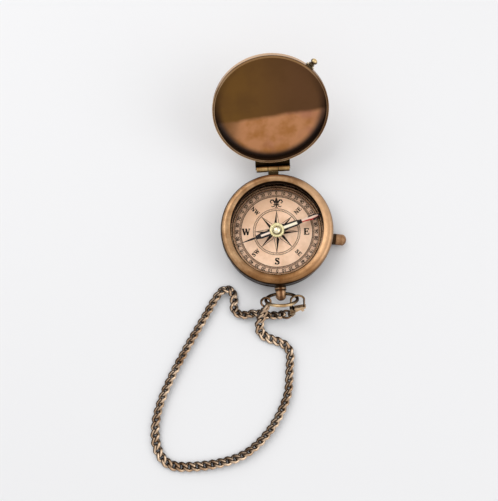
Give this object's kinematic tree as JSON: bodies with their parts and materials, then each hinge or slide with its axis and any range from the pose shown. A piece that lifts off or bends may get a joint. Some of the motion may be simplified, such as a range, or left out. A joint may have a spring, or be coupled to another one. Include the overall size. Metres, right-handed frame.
{
  "type": "pocket compass",
  "caption": "Round hunter-cased pocket compass, lid open, with a magnetic needle and its lock, a bow on a stem and a curb chain with a spring clasp.",
  "frame": {"origin": "centre of the case's flat back face", "axes": "+Z out of the dial, +Y towards the lid hinge and north on the dial, +X towards east"},
  "size_m": [0.0826, 0.1548, 0.042],
  "materials": {
    "antique_brass": "antiqued, satin, fine turning lines",
    "plain_brass": "plain turned",
    "dial_ring_brass": "satin",
    "hub_brass": "pale, polished",
    "lid_mirror": "bright, mirror-like",
    "dial_face": "matt print on a copper-coloured ground",
    "needle_paint": "gloss red north arm, blued black south arm",
    "jewel": "polished cup",
    "clear_glass": "clear, flat",
    "gasket_rubber": "matt",
    "steel": "plain",
    "clasp_brass": "antiqued, satin",
    "chain_brass": "antiqued, polished high spots"
  },
  "bodies": {
    "case": {"case_body": "antique_brass", "bezel_ring": "antique_brass", "glass_gasket": "gasket_rubber", "glass": "clear_glass", "dial": "dial_face", "dial_ring": "dial_ring_brass", "dial_support_ring": "plain_brass", "pivot_post": "steel", "lock_bush": "antique_brass", "lever_bracket": "plain_brass", "lever_pin": "steel", "hinge_body_leaf": "antique_brass", "hinge_pin": "antique_brass", "stem": "antique_brass", "chain_bow_links": "chain_brass", "chain_links": "chain_brass", "chain_tail_links": "chain_brass"},
    "collar": {"lift_collar": "plain_brass"},
    "needle": {"needle_blade": "needle_paint", "needle_hub": "hub_brass", "needle_jewel": "jewel"},
    "lever": {"arrest_lever": "steel"},
    "lock": {"lock_knob": "antique_brass", "lock_spindle": "steel"},
    "lid": {"lid_shell": "antique_brass", "lid_plate": "lid_mirror", "lid_knob": "antique_brass", "hinge_lid_leaf": "antique_brass"},
    "bow": {"bow_ring": "antique_brass", "chain_end_ring": "chain_brass"},
    "clasp": {"clasp_body": "clasp_brass", "clasp_pin": "clasp_brass", "clasp_jump_ring": "chain_brass"},
    "gate": {"clasp_gate": "clasp_brass"}
  },
  "joints": [
    {"name": "lid_hinge", "type": "hinge", "parent": "case", "child": "lid", "pos_m": [0, 0.0248, 0.0103], "axis": [1, 0, 0], "range_deg": [0, 136]},
    {"name": "lock_slide", "type": "slide", "parent": "case", "child": "lock", "axis": [0.9848, -0.1736, 0], "range_m": [0, 0.0016]},
    {"name": "lever_tilt", "type": "hinge", "parent": "case", "child": "lever", "pos_m": [-0.01182, 0.00208, 0.00369], "axis": [-0.1736, -0.9848, 0], "range_deg": [0, 1.67]},
    {"name": "collar_lift", "type": "slide", "parent": "case", "child": "collar", "axis": [0, 0, 1], "range_m": [0, 0.00035]},
    {"name": "needle_spin", "type": "hinge", "parent": "collar", "child": "needle", "pos_m": [0, 0, 0.0093], "axis": [0, 0, 1], "continuous": true},
    {"name": "bow_swing", "type": "hinge", "parent": "case", "child": "bow", "pos_m": [0, -0.0254, 0.006], "axis": [-1, 0, 0], "range_deg": [-20, 30], "deforming": ["chain_bow_links", "chain_tail_links"]},
    {"name": "clasp_swing", "type": "hinge", "parent": "bow", "child": "clasp", "pos_m": [0.00622, -0.02828, 0.01131], "axis": [-1, 0, 0], "range_deg": [-18, 12]},
    {"name": "gate_open", "type": "hinge", "parent": "clasp", "child": "gate", "pos_m": [0.00467, -0.0325, 0.00481], "axis": [0, 0.8387, -0.5446], "range_deg": [0, 25], "stiffness_Nm_per_rad": 0.002, "springref_deg": -11.46}
  ],
  "couplings": [
    {"joint": "lever_tilt", "follows": "lock_slide", "rad_per_m": 18.228},
    {"joint": "collar_lift", "follows": "lock_slide", "ratio": 0.2187},
    {"joint": "clasp_swing", "follows": "bow_swing", "ratio": -0.6}
  ]
}
